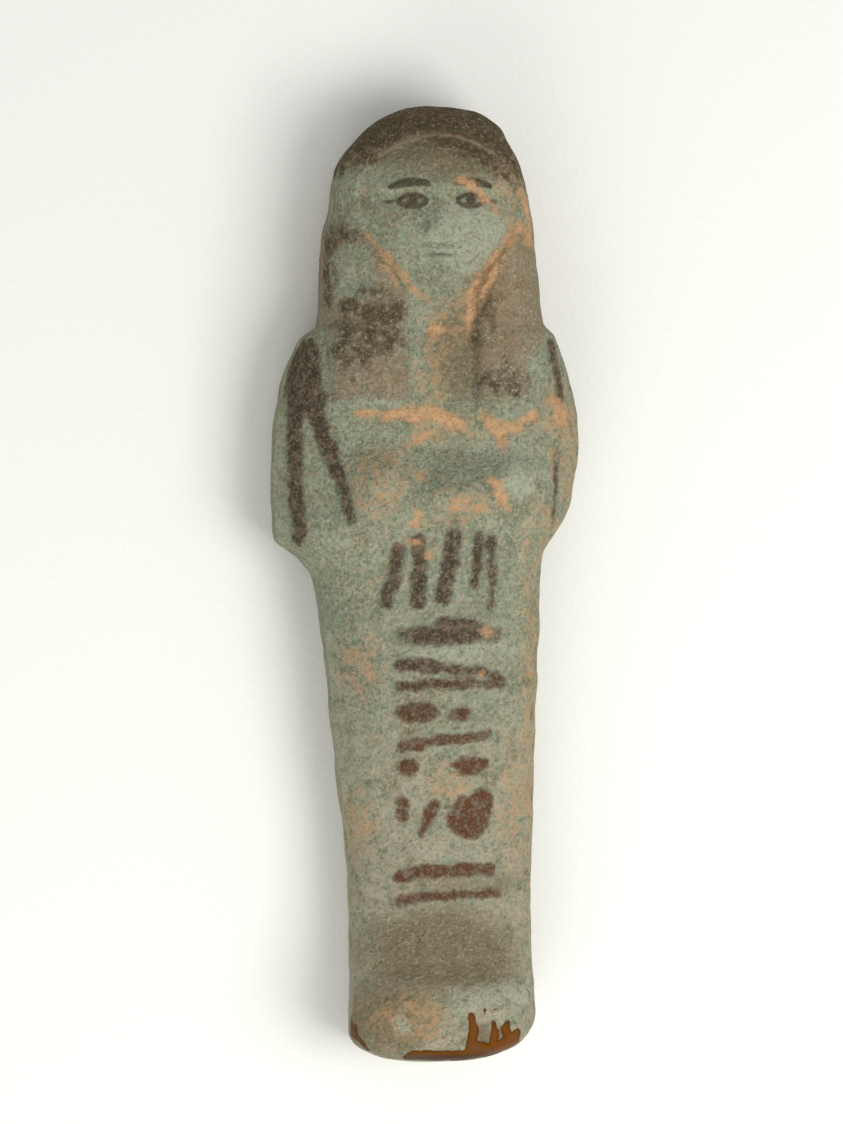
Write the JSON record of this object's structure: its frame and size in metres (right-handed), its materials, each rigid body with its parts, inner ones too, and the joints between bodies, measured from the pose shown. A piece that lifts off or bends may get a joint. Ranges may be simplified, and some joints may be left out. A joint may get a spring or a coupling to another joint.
{
  "type": "ushabti figurine",
  "caption": "Small moulded faience mummiform figurine with a tripartite wig, crossed arms, a tapering shroud, feet that stand forward and a flat back; it lies on its back.",
  "frame": {"origin": "bottom centre of the bounding box, in the plane of the flat back that the figurine lies on", "axes": "+Y from the sole to the crown, +Z out of the figure's front, +X towards the figure's left hand"},
  "size_m": [0.0342, 0.105, 0.0186],
  "materials": {
    "faience": "matte, grainy pale green siliceous faience with brown-black painting and orange-tan deposits; glossy only on a brown stain at the foot"
  },
  "bodies": {
    "root": {"ushabti_figurine": "faience"}
  },
  "joints": []
}
